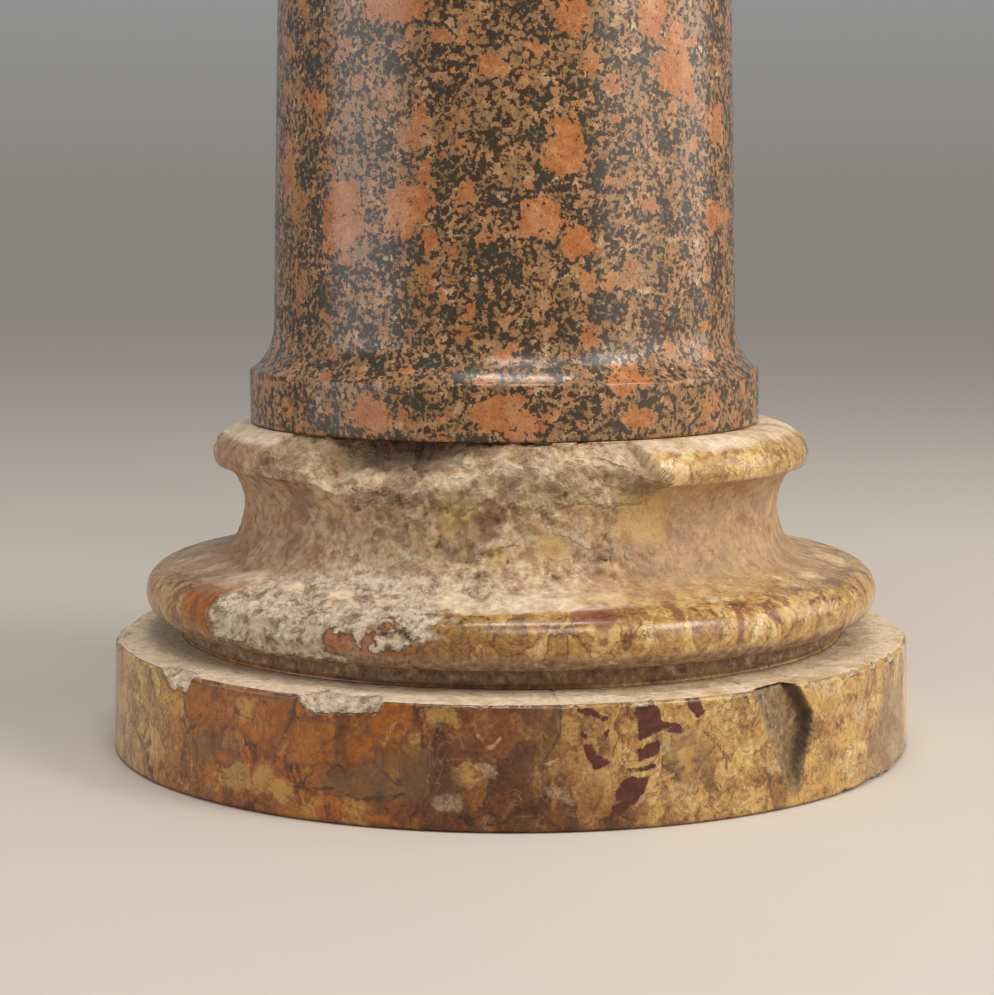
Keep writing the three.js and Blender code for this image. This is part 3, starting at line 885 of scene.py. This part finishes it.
    # Painted shade: the scotia's film darker towards the left side, away from the light.
    film = overlay(tree, step(tree, parts["X"], -0.06, -0.12), 0.30, film, (0.260, 0.125, 0.075))
    covered = maths(tree, "MULTIPLY", crust, step(tree, patches, 0.34, 0.60, 0.92, 0.58))
    colour = mix(tree, covered, sound, film)
    # The groove under the torus: grime with painted shade, made matt as well.
    sunk = maths(tree, "MULTIPLY", groove_grime_and_shade, step(tree, patches, 0.35, 0.6, 0.80, 1.0))
    colour = mix(tree, sunk, colour, groove_grime_shade_colour)
    remains = stones(tree, "remains", worn_grit, 0.0010)[0]
    broken = maths(tree, "MULTIPLY", broken, step(tree, remains, 0.0, 1.0, 1.0, 0.1))
    colour = mix(tree, broken, colour, stone)
    colour = overlay(tree, stones(tree, "ochre", worn_grit, 0.0030)[0], 0.62, colour, (0.600, 0.390, 0.135))
    # Reddish-brown stone with painted shade in the recesses of the break.
    colour = overlay(tree, stones(tree, "umber_and_recess_shade", worn_grit, 0.0030)[0], 0.60, colour, (0.250, 0.120, 0.070))
    # Painted highlight along the ridge crests of the breaks, which also get a little relief below.
    crest_width = maths(tree, "ADD", attribute(tree, "crests"), worn_grit)
    crest = step(tree, crest_width, 0.0002, 0.0026, 1.0, 0.0)
    colour = overlay(tree, crest, 0.42, colour, (0.800, 0.640, 0.440))
    # Painted shade, dark reddish brown, in the broken pocket under the shaft's overhang.
    colour = overlay(tree, attribute(tree, "painted_pocket_shade"), 0.75, colour, (0.175, 0.080, 0.052))
    bruised_stops = [
        (0.36, (0.060, 0.034, 0.015)),
        (0.50, (0.165, 0.100, 0.045)),
        (0.66, (0.34, 0.240, 0.130)),
    ]
    bruised = palette(tree, crumbs, bruised_stops)
    colour = mix(tree, flaked, colour, mix(tree, 0.22, bruised, sound))
    drift = maths(tree, "MULTIPLY", maths(tree, "SUBTRACT", patches, 0.5), 0.9)
    settled = step(tree, maths(tree, "ADD", dust, drift), 0.35, 0.85, 0.0, 0.94)
    colour = mix(tree, settled, colour, powder)
    # Painted shade on the flake's riser, the step face turned away from the light.
    colour = overlay(tree, attribute(tree, "riser"), 0.75, colour, (0.060, 0.038, 0.020))
    crack_width = maths(tree, "ADD", attribute(tree, "cracked"), maths(tree, "MULTIPLY", grit, 0.6))
    crack = step(tree, crack_width, 0.0002, 0.0011, 1.0, 0.0)
    colour = overlay(tree, crack, 0.80, colour, (0.050, 0.025, 0.014))

    rough_parts = maths(tree, "MAXIMUM", broken, settled)
    rough_parts = maths(tree, "MAXIMUM", rough_parts, maths(tree, "MULTIPLY", flaked, 0.6))
    matt = maths(tree, "MAXIMUM", rough_parts, maths(tree, "MAXIMUM", sunk, covered))
    fine = cloud(tree, place, 900.0, 3.0, 0.6).outputs[0]
    polish = step(tree, patches, 0.3, 0.7, 0.16, 0.28)
    roughness = maths(tree, "MULTIPLY_ADD", matt, 0.55, polish)
    depth = maths(tree, "MULTIPLY_ADD", broken, 1.25, maths(tree, "MULTIPLY_ADD", matt, 0.70, 0.03))
    depth = maths(tree, "MULTIPLY", depth, step(tree, settled, 0.0, 1.0, 1.0, 0.85))
    relief = maths(tree, "MULTIPLY", crumbs, depth)
    relief = maths(tree, "MULTIPLY_ADD", maths(tree, "MULTIPLY", fine, matt), 0.22, relief)
    relief = maths(tree, "MULTIPLY_ADD", crest, 0.35, relief)
    bump = add(tree, "ShaderNodeBump", {"Height": relief, "Strength": 1.0, "Distance": 0.0026})
    tree.links.new(colour, shader.inputs["Base Color"])
    tree.links.new(roughness, shader.inputs["Roughness"])
    tree.links.new(bump.outputs[0], shader.inputs["Normal"])
    return material


base.data.materials.append(marble_material())
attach(base, "root")
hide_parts("marble_base")

# The shaft is one turned piece of coarse granite, polished all over, and stands loose on the base. Its foot
# has a plain band and a hollow sweep. Its head has a sweep, a fillet and a half-round bead under the flat
# top.
shaft_low, shaft_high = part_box("granite_shaft")
shaft_foot = shaft_low.z
shaft_head = shaft_high.z
shaft_axis = (shaft_low.x + shaft_high.x) / 2
cincture_radius = (shaft_high.x - shaft_low.x) / 2
cincture_height = 0.0292
cincture_bevel = 0.0016
foot_projection = 0.0133
foot_sweep = 0.030
shaft_taper = 0.0211
head_sweep = 0.022
head_projection = 0.007
head_fillet_height = 0.009
astragal_roll = 0.010
shaft_columns = 300
close_up_height = 0.42


def shaft_section():
    """The shaft's outline as (radius, height), from its foot to its flat top."""
    foot_radius = cincture_radius - foot_projection
    foot_edge_radius = cincture_radius - cincture_bevel
    foot_turn = math.acos(1 - (foot_edge_radius - foot_radius) / foot_sweep)
    foot_centre = shaft_foot + cincture_height + foot_sweep * math.sin(foot_turn)
    head_radius = foot_radius - shaft_taper
    head_turn = math.acos(1 - head_projection / head_sweep)
    fillet_radius_up = head_radius + head_projection
    astragal_middle = shaft_head - astragal_roll
    fillet_up_top = astragal_middle - astragal_roll
    head_centre = fillet_up_top - head_fillet_height - head_sweep * math.sin(head_turn)
    band_top = shaft_foot + cincture_height
    bevel_foot = shaft_foot + cincture_bevel
    bevel_top = band_top - cincture_bevel
    foot_degrees = math.degrees(foot_turn)
    head_degrees = math.degrees(head_turn)
    fillet_up_foot = fillet_up_top - head_fillet_height
    points = [(0.0, shaft_foot), (foot_edge_radius * 0.9, shaft_foot), (foot_edge_radius, shaft_foot)]
    points += arc((foot_edge_radius, bevel_foot), cincture_bevel, cincture_bevel, -70, 0, 4)
    points += line((cincture_radius, bevel_foot), (cincture_radius, bevel_top), 12)
    points += arc((foot_edge_radius, bevel_top), cincture_bevel, cincture_bevel, 20, 80, 4)
    points += arc((foot_radius + foot_sweep, foot_centre), -foot_sweep, foot_sweep, -foot_degrees, 0, 22)
    share = (close_up_height - foot_centre) / (head_centre - foot_centre)
    close_up = (foot_radius + share * (head_radius - foot_radius), close_up_height)
    points += line((foot_radius, foot_centre), close_up, 50)
    points += line(close_up, (head_radius, head_centre), 26)
    points += arc((head_radius + head_sweep, head_centre), -head_sweep, head_sweep, 5, head_degrees, 9)
    points += line((fillet_radius_up, fillet_up_foot), (fillet_radius_up, fillet_up_top), 4)
    points += arc((fillet_radius_up, astragal_middle), astragal_roll, astragal_roll, -84, 90, 18)
    points += line((fillet_radius_up, shaft_head), (0.0, shaft_head), 4)
    return points


def granite_material():
    material = bpy.data.materials.new("polished_granite")
    material.use_nodes = True
    tree = material.node_tree
    shader = tree.nodes["Principled BSDF"]
    place = add(tree, "ShaderNodeTexCoord").outputs["Object"]
    grain_place = warped(tree, place, 280.0, 0.0024)
    grains = add(tree, "ShaderNodeTexVoronoi", {"Vector": grain_place, "Scale": 215.0})
    grain = add(tree, "ShaderNodeSeparateColor", {0: grains.outputs["Color"]}).outputs
    drift = cloud(tree, place, 85.0, 4.0, 0.6).outputs[0]
    tone = maths(tree, "MULTIPLY_ADD", grain[0], 0.60, maths(tree, "MULTIPLY_ADD", drift, 1.2, -0.40))
    grain_stops = [
        (0.00, (0.134, 0.080, 0.039)),
        (0.18, (0.223, 0.125, 0.055)),
        (0.36, (0.307, 0.178, 0.077)),
        (0.52, (0.267, 0.156, 0.078)),
        (0.66, (0.374, 0.178, 0.074)),
        (0.80, (0.401, 0.252, 0.132)),
        (1.00, (0.535, 0.367, 0.229)),
    ]
    colour = palette(tree, tone, grain_stops)
    blocky = warped(tree, place, 130.0, 0.0075)
    crystals = add(tree, "ShaderNodeTexVoronoi", {"Vector": blocky, "Scale": 46.0}, distance="CHEBYCHEV")
    crystal = add(tree, "ShaderNodeSeparateColor", {0: crystals.outputs["Color"]}).outputs
    chosen = step(tree, crystal[0], 0.62, 0.64)
    size = step(tree, crystal[1], 0.0, 1.0, 0.08, 0.36)
    inside = step(tree, maths(tree, "SUBTRACT", crystals.outputs["Distance"], size), -0.05, 0.03, 1.0, 0.0)
    scattered = maths(tree, "MULTIPLY", chosen, inside)
    flecks = cloud(tree, place, 350.0, 6.0, 0.66, 0.2).outputs[0]
    chipped = maths(tree, "MULTIPLY", maths(tree, "SUBTRACT", flecks, 0.5), 0.014)
    chipped = maths(tree, "MULTIPLY_ADD", maths(tree, "SUBTRACT", drift, 0.5), 0.014, chipped)
    placed = stones(tree, "feldspar", chipped, 0.0008)[0]
    small = add(tree, "ShaderNodeTexVoronoi", {"Vector": blocky, "Scale": 96.0}, distance="CHEBYCHEV")
    small_crystal = add(tree, "ShaderNodeSeparateColor", {0: small.outputs["Color"]}).outputs
    small_size = step(tree, small_crystal[1], 0.0, 1.0, 0.10, 0.46)
    small_edge = maths(tree, "SUBTRACT", small.outputs["Distance"], small_size)
    small_inside = step(tree, small_edge, -0.10, 0.05, 0.85, 0.0)
    bits = maths(tree, "MULTIPLY", step(tree, small_crystal[0], 0.66, 0.68), small_inside)
    parts = add(tree, "ShaderNodeSeparateXYZ", {0: place}).outputs
    facing = step(tree, parts["Y"], -0.03, -0.01, 1.0, 0.0)
    low_front = maths(tree, "MULTIPLY", facing, step(tree, parts["Z"], 0.40, 0.41, 1.0, 0.0))
    scattered = maths(tree, "MULTIPLY", scattered, step(tree, low_front, 0.0, 1.0, 1.0, 0.45))
    feldspar = maths(tree, "MAXIMUM", maths(tree, "MAXIMUM", placed, scattered), bits)
    cloudy = cloud(tree, place, 110.0, 5.0, 0.66).outputs[0]
    salmon_stops = [
        (0.32, (0.344, 0.108, 0.032)),
        (0.50, (0.419, 0.149, 0.045)),
        (0.68, (0.522, 0.261, 0.114)),
    ]
    colour = overlay(tree, feldspar, 0.90, colour, palette(tree, cloudy, salmon_stops))
    blush = step(tree, cloud(tree, place, 60.0, 3.0, 0.6).outputs[0], 0.54, 0.64)
    colour = overlay(tree, blush, 0.45, colour, (0.440, 0.225, 0.105))

    bands = cloud(tree, place, 75.0, 4.0, 0.62).outputs[0]
    clear = step(tree, feldspar, 0.0, 1.0, 1.0, 0.1)
    quartz = maths(tree, "MULTIPLY", step(tree, bands, 0.55, 0.64), clear)
    colour = overlay(tree, quartz, 0.55, colour, (0.105, 0.088, 0.058))
    grain_inputs = {"Vector": grain_place, "Scale": 215.0}
    rims = add(tree, "ShaderNodeTexVoronoi", grain_inputs, feature="DISTANCE_TO_EDGE")
    rim = step(tree, rims.outputs[0], 0.0, 0.28, 0.055, 0.0)
    threshold = maths(tree, "MULTIPLY_ADD", feldspar, 0.13, step(tree, bands, 0.38, 0.66, 0.070, -0.028))
    dark = maths(tree, "SUBTRACT", maths(tree, "ADD", flecks, rim), threshold)
    black = step(tree, dark, 0.482, 0.520)
    mica = mix(tree, step(tree, bands, 0.52, 0.68), (0.030, 0.017, 0.010), (0.030, 0.029, 0.019))
    colour = overlay(tree, black, 0.94, colour, mica)
    mottle = cloud(tree, place, 760.0, 4.0, 0.65).outputs[0]
    colour = overlay(tree, step(tree, mottle, 0.59, 0.66), 0.55, colour, (0.070, 0.040, 0.022))
    mottle_stops = [(0.3, (1.24, 1.22, 1.20)), (0.7, (0.80, 0.78, 0.76))]
    colour = mix(tree, 1.0, colour, palette(tree, mottle, mottle_stops), "MULTIPLY")

    polish = step(tree, black, 0.0, 1.0, 0.20, 0.30)
    bump = add(tree, "ShaderNodeBump", {"Height": mottle, "Strength": 0.25, "Distance": 0.0002})
    tree.links.new(colour, shader.inputs["Base Color"])
    tree.links.new(polish, shader.inputs["Roughness"])
    tree.links.new(bump.outputs[0], shader.inputs["Normal"])
    return material


def turning_group():
    """Geometry nodes that sweep an outline of (radius, minus height) round a ring and weld it to one body."""
    group = bpy.data.node_groups.new("Turned on a lathe", "GeometryNodeTree")
    sockets = [
        ("Outline", "NodeSocketGeometry"),
        ("Columns", "NodeSocketInt"),
        ("Ring Radius", "NodeSocketFloat"),
        ("Weld Distance", "NodeSocketFloat"),
        ("Axis Shift", "NodeSocketVector"),
        ("Stone", "NodeSocketMaterial"),
    ]
    for name, kind in sockets:
        group.interface.new_socket(name, in_out="INPUT", socket_type=kind)
    group.interface.new_socket("Body", in_out="OUTPUT", socket_type="NodeSocketGeometry")
    given = group.nodes.new("NodeGroupInput").outputs
    outline = add(group, "GeometryNodeMeshToCurve", {"Mesh": given["Outline"]}).outputs[0]
    ring_inputs = {"Resolution": given["Columns"], "Radius": given["Ring Radius"]}
    ring = add(group, "GeometryNodeCurvePrimitiveCircle", ring_inputs).outputs["Curve"]
    swept = add(group, "GeometryNodeCurveToMesh", {"Curve": ring, "Profile Curve": outline}).outputs[0]
    weld_inputs = {"Geometry": swept, "Distance": given["Weld Distance"]}
    welded = add(group, "GeometryNodeMergeByDistance", weld_inputs).outputs[0]
    outward = add(group, "GeometryNodeFlipFaces", {"Mesh": welded}).outputs[0]
    move_inputs = {"Geometry": outward, "Translation": given["Axis Shift"]}
    moved = add(group, "GeometryNodeTransform", move_inputs).outputs[0]
    smoothed = add(group, "GeometryNodeSetShadeSmooth", {"Geometry": moved}).outputs[0]
    whole = add(group, "GeometryNodeRealizeInstances", {"Geometry": smoothed}).outputs[0]
    stone_inputs = {"Geometry": whole, "Material": given["Stone"]}
    finished = add(group, "GeometryNodeSetMaterial", stone_inputs).outputs[0]
    group.links.new(finished, group.nodes.new("NodeGroupOutput").inputs["Body"])
    return group


def turned_shaft():
    section = shaft_section()
    outline = bpy.data.meshes.new("shaft_outline")
    joined = [(i, i + 1) for i in range(len(section) - 1)]
    outline.from_pydata([(radius, -height, 0.0) for radius, height in section], joined, [])
    body = bpy.data.objects.new("polished_shaft", outline)
    bpy.context.collection.objects.link(body)
    turning = body.modifiers.new("turning", "NODES")
    turning.node_group = turning_group()
    values = {
        "Columns": shaft_columns,
        "Ring Radius": 1e-6,
        "Weld Distance": 1e-5,
        "Axis Shift": (shaft_axis, 0.0, 0.0),
        "Stone": granite_material(),
    }
    for socket in turning.node_group.interface.items_tree:
        if socket.name in values:
            turning[socket.identifier] = values[socket.name]
    evaluated = body.evaluated_get(bpy.context.evaluated_depsgraph_get())
    mesh = bpy.data.meshes.new_from_object(evaluated)
    body.modifiers.remove(turning)
    body.data = mesh
    return body


shaft = turned_shaft()

# Its large feldspar crystals, as (degrees from the front, height, half width, half height, turn in degrees).
shaft_radius = cincture_radius - foot_projection

shaft_crystals = [
    (45.1, 0.365, 0.0110, 0.0200, 4),
    (14.4, 0.318, 0.0110, 0.0120, -18),
    (-42.2, 0.288, 0.0110, 0.0140, 20),
    (-24.4, 0.292, 0.0110, 0.0130, 12),
    (-17.0, 0.277, 0.0060, 0.0060, 0),
    (8.2, 0.287, 0.0080, 0.0070, 0),
    (17.6, 0.273, 0.0075, 0.0080, 25),
    (16.1, 0.386, 0.0090, 0.0080, 10),
    (36.9, 0.388, 0.0080, 0.0090, 0),
    (-27.2, 0.389, 0.0150, 0.0070, 5),
    (-64.6, 0.308, 0.0080, 0.0140, 0),
    (-49.1, 0.343, 0.0050, 0.0050, 30),
    (63.7, 0.332, 0.0070, 0.0120, 0),
    (59.5, 0.288, 0.0060, 0.0090, 0),
    (25.3, 0.351, 0.0060, 0.0050, 0),
    (-27.0, 0.186, 0.0110, 0.0100, 40),
    (-0.6, 0.190, 0.0140, 0.0090, -28),
    (27.0, 0.205, 0.0080, 0.0075, 40),
    (28.6, 0.187, 0.0080, 0.0045, -10),
]


def crystal_outline(azimuth, height, half_width, half_height, turn):
    """The irregular six-cornered outline of one crystal, as (degrees from the front, millimetres up)."""
    cosine, sine = math.cos(math.radians(turn)), math.sin(math.radians(turn))
    corners = []
    for x, y in ((-0.9, -0.6), (-0.1, -1.05), (0.95, -0.75), (1.0, 0.35), (0.35, 1.0), (-0.75, 0.85)):
        jitter = noise.noise_vector(Vector((azimuth * 3.1 + x, height * 97 + y, 4.2)))
        across = (x + 0.9 * jitter.x) * half_width * 1.1
        up = (y + 0.9 * jitter.y) * half_height * 1.1
        degrees = math.degrees((across * cosine - up * sine) / shaft_radius)
        corners.append((azimuth + degrees, (height + across * sine + up * cosine) * 1000))
    return corners


crystals_placed = [crystal_outline(*crystal) for crystal in shaft_crystals]
mark_stones(shaft, shaft_radius, shaft_axis, 0.0012, [("feldspar", crystals_placed, True)])

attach(shaft, "root")
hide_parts("granite_shaft")

# The studio: a plain pale floor, a soft sun, a skylight in front, a roof light overhead, a skylight and two
# windows at the right, and a window at the left. The camera stands close to the column's foot and a little
# above it, as the photograph's did.
floor_reach = 30.0
floor_mesh = bpy.data.meshes.new("floor")
floor_gap = 0.0004
floor_corners = [
    (-floor_reach, -floor_reach, -floor_gap),
    (floor_reach, -floor_reach, -floor_gap),
    (floor_reach, floor_reach, -floor_gap),
    (-floor_reach, floor_reach, -floor_gap),
]
floor_mesh.from_pydata(floor_corners, [], [(0, 1, 2, 3)])
floor = bpy.data.objects.new("floor", floor_mesh)
bpy.context.collection.objects.link(floor)
floor_material = bpy.data.materials.new("pale_floor")
floor_material.use_nodes = True
floor_shader = floor_material.node_tree.nodes["Principled BSDF"]
floor_shader.inputs["Base Color"].default_value = (0.63, 0.555, 0.475, 1.0)
floor_shader.inputs["Roughness"].default_value = 0.6
floor.data.materials.append(floor_material)

world = bpy.data.worlds.new("studio")
world.use_nodes = True
sky = world.node_tree
direction = add(sky, "ShaderNodeTexCoord").outputs["Generated"]
upness = add(sky, "ShaderNodeSeparateXYZ", {0: direction}).outputs["Z"]
backdrop_stops = [(0.0, (0.241, 0.226, 0.204)), (0.10, (0.285, 0.287, 0.287)), (0.4, (0.285, 0.302, 0.315))]
backdrop = palette(sky, upness, backdrop_stops)
sky.links.new(backdrop, sky.nodes["Background"].inputs["Color"])
bpy.context.scene.world = world
bpy.context.scene.view_settings.view_transform = "Standard"

daylight = bpy.data.lights.new("daylight", "SUN")
daylight.energy = 0.34
daylight.angle = math.radians(24)
daylight.color = (1.0, 0.96, 0.91)
sun = bpy.data.objects.new("daylight", daylight)
sun.rotation_euler = Vector((-0.13, 0.60, -0.79)).to_track_quat("-Z", "Y").to_euler()
bpy.context.collection.objects.link(sun)


def soft_light(name, place, aim, size, power, colour):
    light = bpy.data.lights.new(name, "AREA")
    light.shape = "RECTANGLE"
    light.size, light.size_y = size
    light.energy = power
    light.color = colour
    lamp = bpy.data.objects.new(name, light)
    lamp.location = place
    lamp.rotation_euler = (Vector(aim) - Vector(place)).to_track_quat("-Z", "Y").to_euler()
    bpy.context.collection.objects.link(lamp)


soft_light("front skylight", (0.30, -1.40, 1.85), (0.0, 0.0, 0.1), (1.0, 0.45), 7, (1.0, 0.97, 0.93))
soft_light("roof light", (0.10, -0.36, 2.60), (0.0, 0.0, 0.2), (1.2, 0.26), 19, (1.0, 0.97, 0.93))
soft_light("right skylight", (1.50, -0.85, 1.65), (0.0, 0.0, 0.1), (0.7, 0.6), 16, (1.0, 0.97, 0.93))
soft_light("right window", (2.0, -0.95, 0.85), (0.0, 0.0, 0.2), (1.5, 1.3), 15, (1.0, 0.96, 0.90))
soft_light("right side window", (1.7, 0.35, 0.8), (0.0, 0.0, 0.25), (0.9, 1.2), 7, (1.0, 0.96, 0.90))
soft_light("left window", (-2.0, -0.75, 0.6), (0.0, 0.0, 0.2), (1.6, 1.1), 11, (0.95, 0.97, 1.0))

camera_pitch = math.radians(6.84)
camera_yaw = math.radians(-0.345)
camera_distance = 1.2659
camera_height = 0.2838
focal_share = 2291.8 / 995

camera_data = bpy.data.cameras.new("camera")
camera_data.sensor_width = 36.0
camera_data.lens = camera_data.sensor_width * focal_share
camera = bpy.data.objects.new("camera", camera_data)
camera.location = (0.0, -camera_distance, camera_height)
level = math.cos(camera_pitch)
view = Vector((math.sin(camera_yaw) * level, math.cos(camera_yaw) * level, -math.sin(camera_pitch)))
camera.rotation_euler = view.to_track_quat("-Z", "Y").to_euler()
bpy.context.collection.objects.link(camera)
bpy.context.scene.camera = camera
